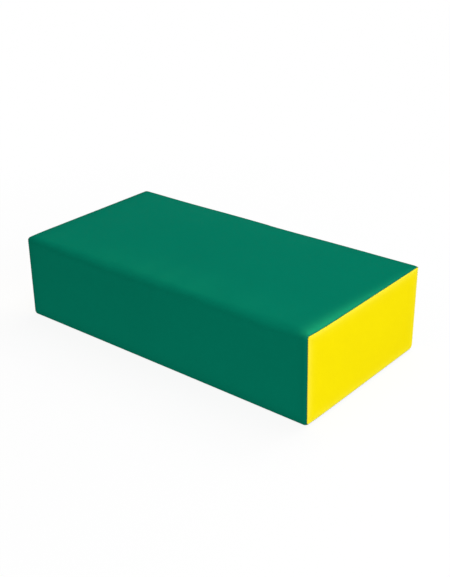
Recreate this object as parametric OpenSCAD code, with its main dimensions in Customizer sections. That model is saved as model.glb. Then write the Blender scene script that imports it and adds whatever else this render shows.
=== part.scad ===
// Soft foam block in a sewn cover of coated sheet: one green sheet wrapped round the long faces,
// a yellow panel sewn into each end, and a zip low on the back so that the cover comes off.
// Millimetres. Origin at the middle of the base, +Z up, +X along the length, +Y the back.

/* [Block] */
// Length over the two crowned ends
block_l = 600; // [420:5:1000]
// Width from front to back
block_w = 300; // [200:5:500]
// Height at the crown of the top
block_h = 150; // [100:5:300]
// Rise of the top between its edges
top_crown = 2; // [0.5:0.5:6]
// Rise of each end panel between its edges
end_crown = 1.6; // [0.4:0.2:5]

/* [Cover] */
// Thickness of the coated sheet
sheet_t = 0.9; // [0.6:0.1:1.4]
// Width of the soft front fold, measured on the top
fold_w = 18; // [10:1:40]
// Drop of the soft front fold, measured on the front
fold_h = 12.5; // [8:0.5:30]
// Radius of the front fold where the end seams hold it
fold_end = 7; // [3:0.5:10]
// Distance over which the front fold opens out from an end seam
fold_reach = 12; // [8:1:40]
// Radius of the crisp fold along the top of the back
back_fold = 3; // [2:0.5:12]
// Radius of the fold along the front of the base
base_fold = 6; // [3:0.5:15]
// Radius of the fold along the back of the base, below the zip
base_back_fold = 8; // [3:0.5:8]

/* [End seams] */
// Radius at which the green skin rolls towards an end seam
wrap_roll_r = 9; // [7:0.5:14]
// Radius at which the edge of an end panel rolls towards the seam
panel_roll_r = 4; // [3.5:0.5:6]
// Slope of the two skins where they meet
seam_slope = 45; // [40:1:50]
// How far the stitches draw the seam in
seam_groove = 0.7; // [0.3:0.1:1]
// Width of the turned-in seam allowance
allowance = 9; // [5:1:12]
// Slope of the turned-in allowance
allowance_angle = 55; // [40:5:70]
// Thickness of the sewing thread
thread_d = 0.9; // [0.5:0.1:1.2]

/* [Zip opening] */
// Height of the zip above the base
zip_z = 32; // [26:1:60]
// Distance from an end seam to the end of the opening
zip_margin = 38; // [30:1:80]
// Height of the opening in the sheet
slit_h = 15.4; // [14.8:0.2:18]
// Length of each pointed end of the opening
slit_taper = 6; // [3:1:12]
// Gap of the closing seam between the opening and the block's ends
seam_gap = 0.3; // [0.2:0.1:0.6]
// Distance from the edge of the opening to its stitch line
stitch_inset = 3; // [2:0.5:5]
// Length of a bar tack
tack_l = 9; // [6:0.5:14]
// Width of a bar tack
tack_w = 2.4; // [1.6:0.2:4]

/* [Zip chain] */
// Width of each woven tape
tape_w = 16; // [13:1:22]
// Thickness of a tape
tape_t = 0.6; // [0.4:0.1:0.9]
// How far the tapes run on past the opening
tape_over = 10; // [4:1:20]
// Distance of each tape's inner edge from the middle of the chain
tape_edge = 1.6; // [1.5:0.1:1.8]
// Distance from tooth to tooth along one row
tooth_pitch = 3.2; // [3.2:0.1:4]
// Thickness of a tooth
tooth_t = 3; // [2.4:0.1:3.4]
// Width of a tooth's head and root
tooth_head = 1.8; // [1.5:0.05:1.85]
// Width of a tooth's neck
tooth_neck = 1.1; // [0.7:0.05:1.1]
// Reach of a tooth's head past the middle of the chain
tooth_reach = 1.1; // [0.9:0.05:1.15]
// Distance of a tooth's root end from the middle of the chain
tooth_root = 3.9; // [3.2:0.1:4.2]
// Length of an end stop
stop_l = 3; // [2:0.5:6]
// Thickness of an end stop
stop_t = 4.4; // [4:0.1:5]

/* [Zip slider] */
// Length of the slider
slider_l = 17; // [15:0.5:22]
// Width of the slider across its shoulders
slider_w = 14; // [13.6:0.1:14.4]
// Width of the slider at its tail
slider_tail_w = 10.8; // [10.6:0.1:12]
// Radius of the slider's corners
slider_round = 1.2; // [0.6:0.1:1.4]
// Thickness of the two plates
plate_t = 1.4; // [1:0.1:1.8]
// Clearance between the slider and the teeth
tooth_play = 0.25; // [0.15:0.05:0.4]
// Clearance between the slider and the tapes
tape_play = 0.2; // [0.1:0.05:0.3]
// Half width of the wedge that parts the teeth
wedge_half = 1.35; // [0.8:0.05:1.4]
// Gap between the slider and an end stop at the ends of its travel
stop_gap = 0.5; // [0.3:0.1:1]
// Clearance of the slider over the foam behind it
foam_play = 0.6; // [0.4:0.1:2]
// Radius of the lug that carries the pull tab
lug_r = 2.2; // [2:0.1:3]
// Width of the lug
lug_w = 2.6; // [2:0.1:3.4]
// Height of the pull tab's pin above the plate
pin_h = 2.1; // [2.1:0.1:3]

/* [Pull tab] */
// Length of the pull tab from its pin
tab_l = 34; // [24:1:44]
// Width of the pull tab at its grip
tab_w = 8.4; // [8:0.2:11]
// Thickness of the pull tab
tab_t = 1.8; // [1.4:0.1:2.2]
// Radius of the pin in the lug
pin_r = 1.1; // [0.8:0.05:1.2]
// Radial clearance of the pin in the lug
pin_play = 0.08; // [0.03:0.01:0.1]
// Length of the tab's tapered tip
tab_tip = 4; // [3:0.5:6]
// How far the tab's waist draws in on each side
tab_waist = 0.6; // [0.2:0.1:1]
// Radius of the tab's corners
tab_round = 0.7; // [0.4:0.1:0.9]
// Gap between the lug and the tab behind it
lug_room = 1; // [0.6:0.1:2]
// Wall of the fork's eyes round the pin
eye_wall = 0.6; // [0.4:0.1:0.8]
// Clearance of the fork's eyes over the plate
eye_play = 0.3; // [0.2:0.05:0.5]
// Width of each arm of the fork
arm_w = 2; // [1.5:0.1:2.4]
// Clearance between the fork and the lug
arm_play = 0.3; // [0.2:0.05:0.6]
// Number of grip ribs on each face of the tab
rib_count = 5; // [3:1:6]
// Height of a grip rib
rib_h = 0.35; // [0.2:0.05:0.5]

/* [Hidden] */
$fn = 48;
// Colours of the pieces
green = [0.0, 0.46, 0.37];
yellow = [1.0, 0.91, 0.09];
foam_white = [0.93, 0.92, 0.88];
zip_black = [0.07, 0.08, 0.08];
thread_green = [0.03, 0.36, 0.30];
nickel = [0.72, 0.72, 0.70];

// Steps in the soft fold, in each crisp fold, and across the crowned top
fold_steps = 6;
crisp_steps = 3;
top_steps = 4;
// Smallest radius of a fold where it is turned well inside the block
least_fold = 1.5;
// Places of the sections that follow the soft fold as it opens out from the roll at an end seam
fold_stations = [0, 0.4 * fold_reach, 0.9 * fold_reach];
// Shares of the opening's half length that get a section
middle_stations = [0.6, 0.25];
// Shares of the green skin's roll, and of the panel's roll, that get a section
roll_stations = [0.42, 0.8];
panel_stations = [0.75, 1];
// Insets of the sections on the crowned end panel
crown_insets = [0.08 * block_h, 0.22 * block_h, 0.4 * block_h];

half_w = block_w / 2;
mid_z = block_h / 2;
// Edge of each end panel's flat, the corner where the two rolls meet, and the start of the green roll
panel_x = block_l / 2 - end_crown;
seam_x = panel_x - panel_roll_r * (1 - sin(seam_slope));
seam_s = wrap_roll_r * (1 - cos(seam_slope));
panel_s = seam_s + panel_roll_r * cos(seam_slope);
roll_x = seam_x - wrap_roll_r * sin(seam_slope);
// Half length of the zip opening, which ends clear of the sections that follow the fold
station_gap = 1;
slit_x = min(seam_x - zip_margin, roll_x - fold_stations[2] - station_gap);

// Zip frame: the middle of the tapes, behind the back of the sheet
tape_y = half_w - sheet_t - tape_t / 2;
channel_t = tooth_t + 2 * tooth_play;
slider_t = channel_t + 2 * plate_t;
stop_x = slit_x - slit_taper - stop_l;
slider_x = stop_x - stop_l / 2 - stop_gap - slider_l / 2;
chain_x0 = -stop_x + stop_l / 2 + tooth_pitch / 2;
tooth_count = floor((slider_x - chain_x0) / tooth_pitch);
pin_z = slider_t / 2 + pin_h;
// Place of the shoulders where the slider widens
shoulder_x = slider_l / 5;
// Hollow in the foam behind the zip, and how far it runs on past the tapes
relief_h = slit_h + 2 * foam_play;
relief_d = tape_t / 2 + slider_t / 2 + foam_play;
relief_over = tape_over + foam_play;
eps = 0.01;

// Section of the block
// How far the soft fold has opened out at station x: 0 at the end seams, 1 along the middle
function fold_open(x) = 1 - exp(-max(0, seam_x - abs(x)) / fold_reach);
// Share of the crown that is missing at a point of the top: 0 in the middle, 1 at the edges
function crown_lost(x, y) =
    1 - (1 - min(1, pow(y / half_w, 2))) * (1 - min(1, pow(x / seam_x, 4)));
function lifted(x, y, z) = z - top_crown * crown_lost(x, y) * max(0, z / mid_z - 1);
function corner(y, z, ry, rz, start, steps) =
    [for (k = [0 : steps]) [y + ry * cos(start + 90 * k / steps), z + rz * sin(start + 90 * k / steps)]];
// Points round the section at station x, s inside the skin: up the back, over the top, down the
// front and under the base
function section(x, s) = let (
        open = fold_open(x),
        ry = max(fold_end + (fold_w - fold_end) * open - s, least_fold),
        rz = max(fold_end + (fold_h - fold_end) * open - s, least_fold),
        rk = max(back_fold - s, least_fold),
        rb = max(base_fold - s, least_fold),
        rh = max(base_back_fold - s, least_fold),
        y = half_w - s,
        z = block_h - s)
    concat(
        corner(y - rk, z - rk, rk, rk, 0, crisp_steps),
        [for (k = [1 : top_steps - 1]) [y - rk + (ry + rk - 2 * y) * k / top_steps, z]],
        corner(ry - y, z - rz, ry, rz, 90, fold_steps),
        corner(rb - y, s + rb, rb, rb, 180, crisp_steps),
        corner(y - rh, s + rh, rh, rh, 270, crisp_steps));
// Half height of the zip opening at station x
function slit(x) = seam_gap / 2 + (slit_h - seam_gap) / 2 * min(1, max(0, (slit_x - abs(x)) / slit_taper));
function raised(x, ring) = [for (p = ring) [x, p[0], lifted(x, p[0], p[1])]];
function closed_ring(p) = raised(p[0], section(p[0], p[1]));
function open_ring(p) = raised(p[0], concat(
    [[half_w - p[1], zip_z + slit(p[0])]],
    section(p[0], p[1]),
    [[half_w - p[1], zip_z - slit(p[0])]]));

// Paths in the plane of x and of the depth s below the skin
function reversed(list) = [for (k = [len(list) - 1 : -1 : 0]) list[k]];
function mirrored(path) = [for (p = path) [-p[0], p[1]]];
function left_of(a, b) = let (d = (b - a) / norm(b - a)) [-d[1], d[0]];
// The path moved d to its left, with mitred corners
function beside(path, d) = let (last = len(path) - 1) [for (k = [0 : last]) let (
        n0 = left_of(path[max(k - 1, 0)], path[max(k, 1)]),
        n1 = left_of(path[min(k, last - 1)], path[min(k + 1, last)]))
    path[k] + d * (n0 + n1) / (1 + n0 * n1)];

// Points of the two rolls at a slope, and the seam that the stitches draw in between them
function wrap_roll(a) = [roll_x + wrap_roll_r * sin(a), wrap_roll_r * (1 - cos(a))];
function panel_roll(a) = [panel_x - panel_roll_r * (1 - sin(a)), panel_s - panel_roll_r * cos(a)];
seam_point = wrap_roll(seam_slope) + seam_groove * [-sin(seam_slope), cos(seam_slope)];
allowance_tip = seam_point + allowance * [-cos(allowance_angle), sin(allowance_angle)];
// The green sheet from the middle of the block to its right end, then all of it
wrap_half = concat(
    [for (k = middle_stations) [(slit_x - slit_taper) * (1 - k), 0]],
    [[slit_x - slit_taper, 0], [slit_x, 0]],
    [for (d = reversed(fold_stations)) [roll_x - d, 0]],
    [for (u = roll_stations) wrap_roll(u * seam_slope)],
    [seam_point, allowance_tip]);
wrap_outer = concat(reversed(mirrored(wrap_half)), [[0, 0]], wrap_half);
wrap_inner = beside(wrap_outer, sheet_t);
// The right end panel, from its allowance out over the rolled edge to the middle of the end
panel_outer = concat(
    [allowance_tip, seam_point],
    [for (u = panel_stations) panel_roll(seam_slope + u * (90 - seam_slope))],
    [for (s = crown_insets) [panel_x + end_crown * sin(90 * (s - panel_s) / (mid_z - panel_s)), s]]);
panel_inner = beside(panel_outer, sheet_t);

// Skins over rows of rings
// Triangles between rings a and b of a row of rings; open rings have no face from last point to first.
// Each diagonal starts on the ring nearer to an end of the block, so skins that touch are cut alike.
function strip(rings, a, b, open = false) = let (
        n = len(rings[0]),
        outwards = abs(rings[a][0][0]) < abs(rings[b][0][0]))
    [for (j = [0 : n - (open ? 2 : 1)]) let (
            a0 = a * n + j, a1 = a * n + (j + 1) % n,
            b0 = b * n + j, b1 = b * n + (j + 1) % n)
        each outwards ? [[a0, b0, a1], [a1, b0, b1]] : [[a0, b0, b1], [a0, b1, a1]]];
// A closed solid over closed rings, with a middle point at each end
module capped_loft(rings, start, end) {
    n = len(rings[0]);
    rows = len(rings);
    first = rows * n;
    points = concat([for (r = rings) each r], [start, end]);
    sides = [for (i = [0 : rows - 2]) each strip(rings, i, i + 1)];
    caps = [for (j = [0 : n - 1]) let (k = (j + 1) % n, row = first - n)
        each [[first, j, k], [first + 1, row + k, row + j]]];
    polyhedron(points, concat(sides, caps), convexity = 6);
}
// A sheet over open rings: a loop of rows out along one face and back along the other
module sheet_loft(outer, inner) {
    n = len(outer[0]);
    half = len(outer);
    rows = 2 * half;
    rings = concat(outer, reversed(inner));
    sides = [for (i = [0 : rows - 1]) each strip(rings, i, (i + 1) % rows, open = true)];
    edges = [for (i = [0 : half - 2]) let (
            o0 = i * n, o1 = o0 + n, i0 = (rows - 1 - i) * n, i1 = i0 - n, e = n - 1)
        each [[o0, i0, i1], [o0, i1, o1], [o0 + e, i1 + e, i0 + e], [o0 + e, o1 + e, i1 + e]]];
    polyhedron([for (r = rings) each r], concat(sides, edges), convexity = 6);
}
// A closed loop of thread over rings that are taken round its own section
module ring_loft(rings) {
    rows = len(rings);
    polyhedron(
        [for (r = rings) each r],
        [for (i = [0 : rows - 1]) each strip(rings, i, (i + 1) % rows)],
        convexity = 6);
}

module mirror_end() {
    mirror([1, 0, 0])
        children();
}

// Moves a shape drawn as seen from behind, x to the right, y up and z towards the viewer, to the zip
module at_zip() {
    translate([0, tape_y, zip_z])
        rotate([90, 0, 180])
            children();
}

// Points of an outline whose corners are rounded to radius r
function rounded(corners, r, steps = 5) = let (n = len(corners)) [for (k = [0 : n - 1])
    let (
        c = corners[k],
        u = (corners[(k + n - 1) % n] - c) / norm(corners[(k + n - 1) % n] - c),
        v = (corners[(k + 1) % n] - c) / norm(corners[(k + 1) % n] - c),
        half = acos(u * v) / 2,
        m = c + (u + v) / norm(u + v) * r / sin(half),
        a0 = atan2((c + u * r / tan(half) - m)[1], (c + u * r / tan(half) - m)[0]),
        a1 = atan2((c + v * r / tan(half) - m)[1], (c + v * r / tan(half) - m)[0]),
        turn = (a1 - a0 + 540) % 360 - 180)
    for (i = [0 : steps]) m + r * [cos(a0 + turn * i / steps), sin(a0 + turn * i / steps)]];

// Foam and cover
module foam_core() {
    path = concat(reversed(mirrored(panel_inner)), wrap_inner, panel_inner);
    end_x = panel_x + end_crown - sheet_t;
    color(foam_white)
        difference() {
            capped_loft([for (p = path) closed_ring(p)], [-end_x, 0, mid_z], [end_x, 0, mid_z]);
            // Hollow that the zip presses into the foam
            translate([-slit_x - relief_over, tape_y - relief_d, zip_z - relief_h / 2])
                cube([2 * (slit_x + relief_over), 2 * relief_d, relief_h]);
            // Room for the tapes, which lie between the sheet and the foam
            translate([-slit_x - tape_over - eps, tape_y - tape_t / 2, zip_z - tape_edge - tape_w])
                cube([2 * (slit_x + tape_over + eps), 2 * tape_t, 2 * (tape_edge + tape_w)]);
        }
}

module wrap_sheet() {
    color(green)
        sheet_loft([for (p = wrap_outer) open_ring(p)], [for (p = wrap_inner) open_ring(p)]);
}

module end_panel_right() {
    end_x = panel_x + end_crown;
    color(yellow)
        capped_loft(
            [for (p = concat(reversed(panel_inner), panel_outer)) closed_ring(p)],
            [end_x - sheet_t, 0, mid_z],
            [end_x, 0, mid_z]);
}

module end_panel_left() {
    mirror_end()
        end_panel_right();
}

// Thread in the groove of an end seam, one corner of its square section down in the groove
module end_seam_thread_right() {
    side = thread_d / sqrt(2);
    color(thread_green)
        ring_loft([for (d = [[0, 0], [0, -side], [side, -side], [side, 0]]) closed_ring(seam_point + d)]);
}

module end_seam_thread_left() {
    mirror_end()
        end_seam_thread_right();
}

// Half-round thread lying on the back of the sheet from x0 to x1, at height y from the zip
module lying_thread(x0, x1, y) {
    translate([x0, y, half_w - tape_y])
        rotate([0, 90, 0])
            intersection() {
                cylinder(d = thread_d, h = x1 - x0);
                translate([-thread_d, -thread_d, 0])
                    cube([thread_d, 2 * thread_d, x1 - x0]);
            }
}

module zip_seam_thread_upper() {
    color(thread_green)
        at_zip()
            lying_thread(slit_taper - slit_x, slit_x - slit_taper, slit_h / 2 + stitch_inset);
}

module zip_seam_thread_lower() {
    color(thread_green)
        at_zip()
            lying_thread(slit_taper - slit_x, slit_x - slit_taper, -slit_h / 2 - stitch_inset);
}

// The plain seam that closes the sheet between the zip and each end
module closing_seam_threads() {
    color(thread_green)
        at_zip() {
            lying_thread(slit_x + 2 * tack_w, roll_x, 0);
            lying_thread(-roll_x, -slit_x - 2 * tack_w, 0);
        }
}

// Bar tacks across the two ends of the opening
module zip_bar_tacks() {
    color(thread_green)
        at_zip()
            for (side = [-1, 1])
                translate([side * (slit_x + tack_w), 0, half_w - tape_y])
                    linear_extrude(thread_d) {
                        square([tack_w, tack_l - tack_w], center = true);
                        for (end = [-1, 1])
                            translate([0, end * (tack_l - tack_w) / 2])
                                circle(d = tack_w);
                    }
}

// Zip chain
module tape() {
    translate([-slit_x - tape_over, tape_edge, -tape_t / 2])
        cube([2 * (slit_x + tape_over), tape_w, tape_t]);
}

module zip_tape_upper() {
    color(zip_black)
        at_zip()
            tape();
}

module zip_tape_lower() {
    color(zip_black)
        at_zip()
            mirror([0, 1, 0])
                tape();
}

// The slot that holds the edge of the tape in a tooth or stop
module tape_slot(length) {
    translate([-length, tape_edge, -tape_t / 2])
        cube([2 * length, tape_w, tape_t]);
}

// One moulded tooth of the upper row: a root gripping the tape, a neck and a head
module tooth() {
    step = (tooth_head - tooth_neck) / 2;
    half = [
        [tooth_head / 2, tooth_root],
        [tooth_head / 2, tooth_reach + step],
        [tooth_neck / 2, tooth_reach],
        [tooth_neck / 2, 0],
        [tooth_head / 2, -step],
        [tooth_head / 2, step - tooth_reach],
        [tooth_neck / 2, -tooth_reach]];
    difference() {
        linear_extrude(tooth_t, center = true)
            polygon(concat(half, [for (p = reversed(half)) [-p[0], p[1]]]));
        tape_slot(tooth_head);
    }
}

module tooth_row(shift) {
    for (i = [0 : tooth_count - 1])
        translate([chain_x0 + tooth_pitch * i + shift, 0, 0])
            tooth();
}

module zip_teeth_upper() {
    color(zip_black)
        at_zip()
            tooth_row(0);
}

module zip_teeth_lower() {
    color(zip_black)
        at_zip()
            mirror([0, 1, 0])
                tooth_row(tooth_pitch / 2);
}

// A stop clamped on one tape's edge
module top_stop() {
    difference() {
        translate([-stop_l / 2, tooth_reach, -stop_t / 2])
            cube([stop_l, tooth_root - tooth_reach, stop_t]);
        tape_slot(stop_l);
    }
}

module zip_top_stops() {
    color(nickel)
        at_zip()
            translate([stop_x, 0, 0])
                for (side = [0, 1])
                    mirror([0, side, 0])
                        top_stop();
}

// A stop clamped across both tapes
module zip_bottom_stop() {
    color(nickel)
        at_zip()
            translate([-stop_x, 0, 0])
                difference() {
                    cube([stop_l, 2 * tooth_root, stop_t], center = true);
                    for (side = [0, 1])
                        mirror([0, side, 0])
                            tape_slot(stop_l);
                }
}

// Slider
module slider_outline() {
    front = slider_l / 2;
    polygon(rounded([
        [-front, -slider_tail_w / 2],
        [0, -slider_tail_w / 2],
        [shoulder_x, -slider_w / 2],
        [front, -slider_w / 2],
        [front, slider_w / 2],
        [shoulder_x, slider_w / 2],
        [0, slider_tail_w / 2],
        [-front, slider_tail_w / 2]], slider_round));
}

// Way of the closed chain in at the tail, and of the two open rows out at the mouth
module slider_channel() {
    tail = tooth_root + tooth_play;
    mouth = tail + (slider_w - slider_tail_w) / 2;
    polygon([
        [-slider_l, -tail],
        [0, -tail],
        [shoulder_x, -mouth],
        [slider_l, -mouth],
        [slider_l, mouth],
        [shoulder_x, mouth],
        [0, tail],
        [-slider_l, tail]]);
}

module slider_half() {
    flange_z = tape_t / 2 + tape_play;
    translate([0, 0, channel_t / 2])
        linear_extrude(plate_t)
            slider_outline();
    translate([0, 0, flange_z])
        linear_extrude(channel_t / 2 - flange_z + plate_t / 2)
            difference() {
                slider_outline();
                slider_channel();
            }
}

// Wedge between the plates that parts the rows, its point towards the tail
module slider_wedge() {
    front = slider_l / 2;
    linear_extrude(channel_t + plate_t, center = true)
        polygon([
            [tooth_head, 0],
            [slider_l / 4, -wedge_half],
            [front - plate_t, -wedge_half],
            [front - plate_t / 2, 0],
            [front - plate_t, wedge_half],
            [slider_l / 4, wedge_half]]);
}

module slider_lug() {
    foot = lug_r + plate_t / 2;
    rotate([90, 0, 0])
        linear_extrude(lug_w, center = true)
            difference() {
                union() {
                    translate([0, pin_z])
                        circle(lug_r);
                    polygon([
                        [-foot, slider_t / 2 - plate_t / 2],
                        [foot, slider_t / 2 - plate_t / 2],
                        [lug_r, pin_z],
                        [-lug_r, pin_z]]);
                }
                translate([0, pin_z])
                    circle(pin_r + pin_play);
            }
}

module zip_slider() {
    color(nickel)
        at_zip()
            translate([slider_x, 0, 0]) {
                slider_half();
                mirror([0, 0, 1])
                    slider_half();
                slider_wedge();
                slider_lug();
            }
}

// Pull tab, lying back over the closed chain
module tab_outline() {
    neck = lug_w / 2 + arm_play + arm_w;
    inner = lug_r + lug_room;
    polygon(rounded([
        [-inner, -neck],
        [-tab_l / 3, -neck + tab_waist],
        [-tab_l + tab_tip, -tab_w / 2],
        [-tab_l, -tab_w / 3],
        [-tab_l, tab_w / 3],
        [-tab_l + tab_tip, tab_w / 2],
        [-tab_l / 3, neck - tab_waist],
        [-inner, neck]], tab_round));
}

module fork_arm() {
    inner = lug_w / 2 + arm_play;
    eye_r = min(pin_r + eye_wall, pin_h - eye_play);
    reach = lug_r + 2 * lug_room;
    translate([0, inner + arm_w, 0])
        rotate([90, 0, 0])
            cylinder(r = eye_r, h = arm_w);
    translate([-reach, inner, -tab_t / 2])
        cube([reach, arm_w, tab_t]);
}

module zip_pull_tab() {
    inner = lug_w / 2 + arm_play;
    rib_step = 2 * tab_t;
    color(nickel)
        at_zip()
            translate([slider_x, 0, pin_z]) {
                linear_extrude(tab_t, center = true)
                    tab_outline();
                for (side = [0, 1])
                    mirror([0, side, 0])
                        fork_arm();
                rotate([90, 0, 0])
                    cylinder(r = pin_r, h = 2 * inner + arm_w, center = true);
                for (i = [0 : rib_count - 1])
                    translate([-tab_l + tab_tip + rib_step / 2 + rib_step * i, 0, 0])
                        cube([tab_t / 2, tab_w / 2, tab_t + 2 * rib_h], center = true);
            }
}

foam_core();
wrap_sheet();
end_panel_right();
end_panel_left();
end_seam_thread_right();
end_seam_thread_left();
zip_seam_thread_upper();
zip_seam_thread_lower();
closing_seam_threads();
zip_bar_tacks();
zip_tape_upper();
zip_tape_lower();
zip_teeth_upper();
zip_teeth_lower();
zip_top_stops();
zip_bottom_stop();
zip_slider();
zip_pull_tab();
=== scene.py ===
import math

import bmesh
import bpy
import numpy as np
from mathutils import Matrix, Vector


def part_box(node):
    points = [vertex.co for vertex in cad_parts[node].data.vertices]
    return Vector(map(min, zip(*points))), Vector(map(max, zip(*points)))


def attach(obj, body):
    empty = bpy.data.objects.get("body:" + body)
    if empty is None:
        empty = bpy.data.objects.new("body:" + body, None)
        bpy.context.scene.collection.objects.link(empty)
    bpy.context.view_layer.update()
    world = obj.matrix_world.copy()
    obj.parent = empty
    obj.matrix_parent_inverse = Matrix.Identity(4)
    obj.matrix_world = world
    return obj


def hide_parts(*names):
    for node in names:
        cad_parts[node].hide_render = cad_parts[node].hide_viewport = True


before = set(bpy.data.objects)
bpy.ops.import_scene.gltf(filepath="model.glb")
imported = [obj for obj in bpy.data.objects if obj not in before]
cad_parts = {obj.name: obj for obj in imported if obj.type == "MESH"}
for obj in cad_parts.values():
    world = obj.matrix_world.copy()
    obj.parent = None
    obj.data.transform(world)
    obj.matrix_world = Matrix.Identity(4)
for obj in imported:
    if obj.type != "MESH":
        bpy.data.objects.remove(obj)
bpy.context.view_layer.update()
print("frame loaded:", len(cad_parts), "nodes")

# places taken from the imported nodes, metres
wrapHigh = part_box("wrap_sheet")[1]
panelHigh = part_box("end_panel_right")[1]
tapeLow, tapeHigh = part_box("zip_tape_upper")
sliderLow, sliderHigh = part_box("zip_slider")
halfWidth = wrapHigh.y
height = wrapHigh.z
midZ = height / 2
zipZ = (sliderLow.z + sliderHigh.z) / 2
tapeY = (tapeLow.y + tapeHigh.y) / 2

# the sewn cover
cover = {
    "thickness": 0.0009,
    "topCrown": 0.002,
    "endCrown": 0.0016,
    "foldWidth": 0.018,  # soft fold along the top of the front
    "foldDrop": 0.0125,
    "foldEnd": {"left": 0.007, "right": 0.006},
    "foldReach": 0.012,
    "foldSwing": {"share": 0.2, "step": 0.0533, "shift": 0.08},  # the fold widens and narrows along it
    "foldWaves": ((0.05, 0.0171, 0.7), (0.02, 0.0068, 2.1)),  # share of its size, step, phase
    "backFold": 0.003,
    "baseFold": 0.006,
    "baseBackFold": 0.010,
    "leastFold": 0.0015,
    "wrapRoll": 0.009,  # radii of the two skins where they roll into an end seam
    "panelRoll": 0.004,
    "seamTurn": 45,
    "seamGroove": 0.0007,
    "grooveReach": 0.0009,
    "allowance": 0.009,
    "allowanceAngle": 55,
    "tapeOver": 0.010,  # how far the tapes run past the opening
    "slitHeight": 0.0154,
    "slitTaper": 0.006,
    "seamGap": 0.0003,
    "backTight": 0.35,  # share of the seams' inset that is left at the top corners of the back
    "tightReach": 0.008,
    "frontPull": {"top": 0.003, "base": 0.0012, "reach": 0.02, "start": 0.045},  # ends drawn in
}
seamTurn = math.radians(cover["seamTurn"])
seamInset = cover["wrapRoll"] * (1 - math.cos(seamTurn))
panelX = panelHigh.x - cover["endCrown"]
seamX = panelX - cover["panelRoll"] * (1 - math.sin(seamTurn))
rollX = seamX - cover["wrapRoll"] * math.sin(seamTurn)
panelEdge = seamInset + cover["panelRoll"] * math.cos(seamTurn)
slitX = tapeHigh.x - cover["tapeOver"]

# how finely the cover is meshed: counts of points, and how they crowd towards a seam
coverMesh = {
    "crisp": 6,
    "soft": 18,
    "top": 60,
    "front": 30,
    "base": 40,
    "back": 22,
    "nearSeam": 20,
    "middle": 46,
    "roll": 12,
    "edge": 10,
    "face": 16,
    "nearReach": 4,  # in reaches of the fold
    "nearCrowd": 1.6,
    "rollCrowd": 1.7,
    "faceCrowd": 1.5,
    "heart": 0.004,  # half height left in the middle of a panel
    "allowanceSteps": (0.15, 0.5, 1),
    "tiny": 1e-9,
}
# rows of points beside the zip, from the edge of the sheet
hemSteps = np.array([0, 0.3, 0.7, 1.2, 2.0, 3.0, 4.0, 6.0, 8.5, 11.0, 13.5]) / 1000


# curves that the soft forms share
def smoothStep(value):
    value = np.clip(value, 0, 1)
    return value * value * (3 - 2 * value)


def fadeIn(gap, reach):
    return 1 - np.exp(-gap / reach)


def bell(offset, width):
    return np.exp(-(offset / width) ** 2)


# a wave whose steps wander
def unevenWave(place, step, sway, swayStep):
    return np.sin(place / step + sway * np.sin(place / swayStep))


# a share from least to 1 that follows a wave
def varied(least, wave):
    return (1 + least) / 2 + (1 - least) / 2 * wave


# the way along a row of points
def runLength(points):
    return np.concatenate([[0], np.cumsum(np.linalg.norm(np.diff(points, axis=0), axis=1))])


# mesh helpers
def linkObject(name, mesh):
    made = bpy.data.objects.new(name, mesh)
    bpy.context.scene.collection.objects.link(made)
    return made


def setSmooth(mesh, angle=40):
    mesh.polygons.foreach_set("use_smooth", [True] * len(mesh.polygons))
    mesh.set_sharp_from_angle(angle=math.radians(angle))


def meshObject(name, vertices, faces, uv=None, rub=None):
    mesh = bpy.data.meshes.new(name)
    mesh.from_pydata(vertices.tolist(), [], faces)
    if uv is not None:
        corners = np.zeros(len(mesh.loops), np.int32)
        mesh.loops.foreach_get("vertex_index", corners)
        layer = mesh.uv_layers.new(name="cut")
        layer.data.foreach_set("uv", uv[corners].astype(np.float32).ravel())
    if rub is not None:
        attribute = mesh.attributes.new("rub", "FLOAT", "POINT")
        attribute.data.foreach_set("value", rub.astype(np.float32))
    mesh.validate()
    setSmooth(mesh)
    return linkObject(name, mesh)


def applyModifiers(piece):
    evaluated = piece.evaluated_get(bpy.context.evaluated_depsgraph_get())
    mesh = bpy.data.meshes.new_from_object(evaluated)
    mesh.name = piece.name
    piece.modifiers.clear()
    piece.data = mesh


def gridNormals(grid, closed=False):
    along = np.gradient(grid, axis=0)
    around = np.gradient(grid, axis=1)
    if closed:
        around = (np.roll(grid, -1, axis=1) - np.roll(grid, 1, axis=1)) / 2
    normal = np.cross(around, along)
    return normal / np.linalg.norm(normal, axis=2, keepdims=True)


# quads of a sheet with an outer and an inner face, closed along its rims
def sheetFaces(rows, columns, closed=False, capped=False):
    inner = rows * columns
    steps = columns if closed else columns - 1
    faces = []
    for i in range(rows - 1):
        for j in range(steps):
            k = (j + 1) % columns
            a, b, c, d = i * columns + j, i * columns + k, (i + 1) * columns + k, (i + 1) * columns + j
            faces.append((a, b, c, d))
            faces.append((inner + d, inner + c, inner + b, inner + a))
    last = (rows - 1) * columns
    for j in range(steps):
        k = (j + 1) % columns
        faces.append((inner + j, inner + k, k, j))
        if not capped:
            faces.append((last + j, last + k, inner + last + k, inner + last + j))
    if capped:
        faces.append(tuple(last + j for j in range(columns)))
        faces.append(tuple(inner + last + j for j in reversed(range(columns))))
    if not closed:
        for i in range(rows - 1):
            a, b = i * columns, (i + 1) * columns
            e = columns - 1
            faces.append((a, b, inner + b, inner + a))
            faces.append((b + e, a + e, inner + a + e, inner + b + e))
    return faces


# section of the block
def foldOpening(x):
    return 1 - math.exp(-max(0.0, seamX - abs(x)) / cover["foldReach"])


def slitHalf(x):
    share = min(1.0, max(0.0, (slitX - abs(x)) / cover["slitTaper"]))
    return (cover["seamGap"] + (cover["slitHeight"] - cover["seamGap"]) * share) / 2


def foldWave(x):
    swing = cover["foldSwing"]
    slow = swing["share"] * math.cos((x + swing["shift"]) / swing["step"])
    return slow + sum(share * math.sin(x / step + phase) for share, step, phase in cover["foldWaves"])


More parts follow.
